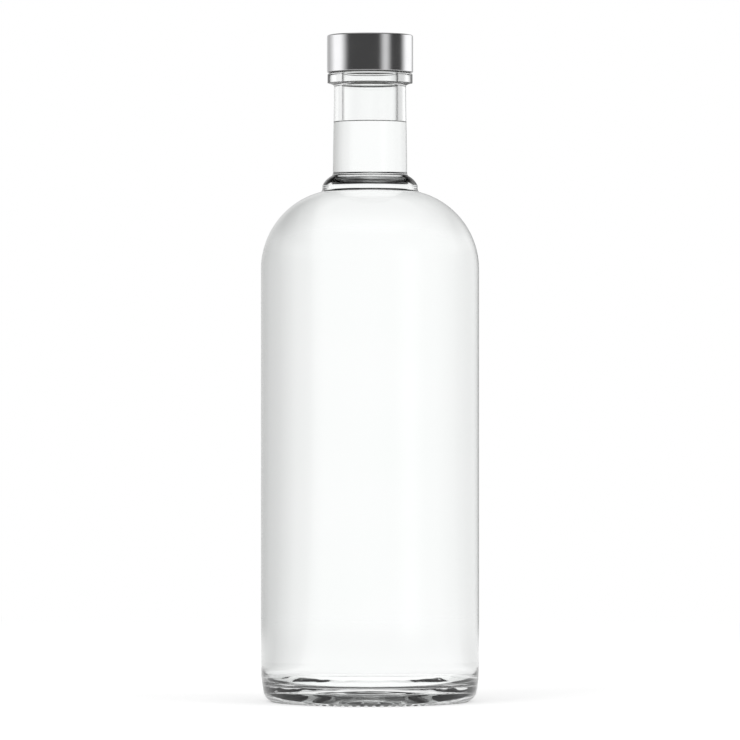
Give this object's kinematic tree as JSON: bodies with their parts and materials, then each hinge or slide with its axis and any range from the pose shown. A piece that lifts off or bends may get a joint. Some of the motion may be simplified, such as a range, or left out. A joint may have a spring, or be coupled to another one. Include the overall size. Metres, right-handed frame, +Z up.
{
  "type": "vodka bottle",
  "caption": "Clear glass spirits bottle with a round shoulder, short neck, stippled punted base, clear liquid and a screw cap with a metal shell.",
  "frame": {"origin": "centre of the base, on the surface that the bottle stands on", "axes": "+Z up along the bottle's axis, towards the cap"},
  "size_m": [0.0804, 0.0804, 0.2456],
  "materials": {
    "flint_glass": "polished",
    "spirit": "gloss",
    "cap_metal": "satin",
    "insert_plastic": "satin",
    "liner_foam": "matte"
  },
  "bodies": {
    "bottle": {"glass_bottle": "flint_glass", "vodka": "spirit"},
    "wad": {"cap_liner": "liner_foam"},
    "cap": {"cap_shell": "cap_metal", "cap_insert": "insert_plastic"}
  },
  "joints": [
    {"name": "cap_lift", "type": "slide", "parent": "bottle", "child": "wad", "axis": [0, 0, 1], "range_m": [0, 0.0127]},
    {"name": "cap_turn", "type": "hinge", "parent": "wad", "child": "cap", "pos_m": [0, 0, 0.238], "axis": [0, 0, 1], "range_deg": [0, 1080]}
  ],
  "couplings": [
    {"joint": "cap_lift", "follows": "cap_turn", "m_per_rad": 0.0006737}
  ]
}
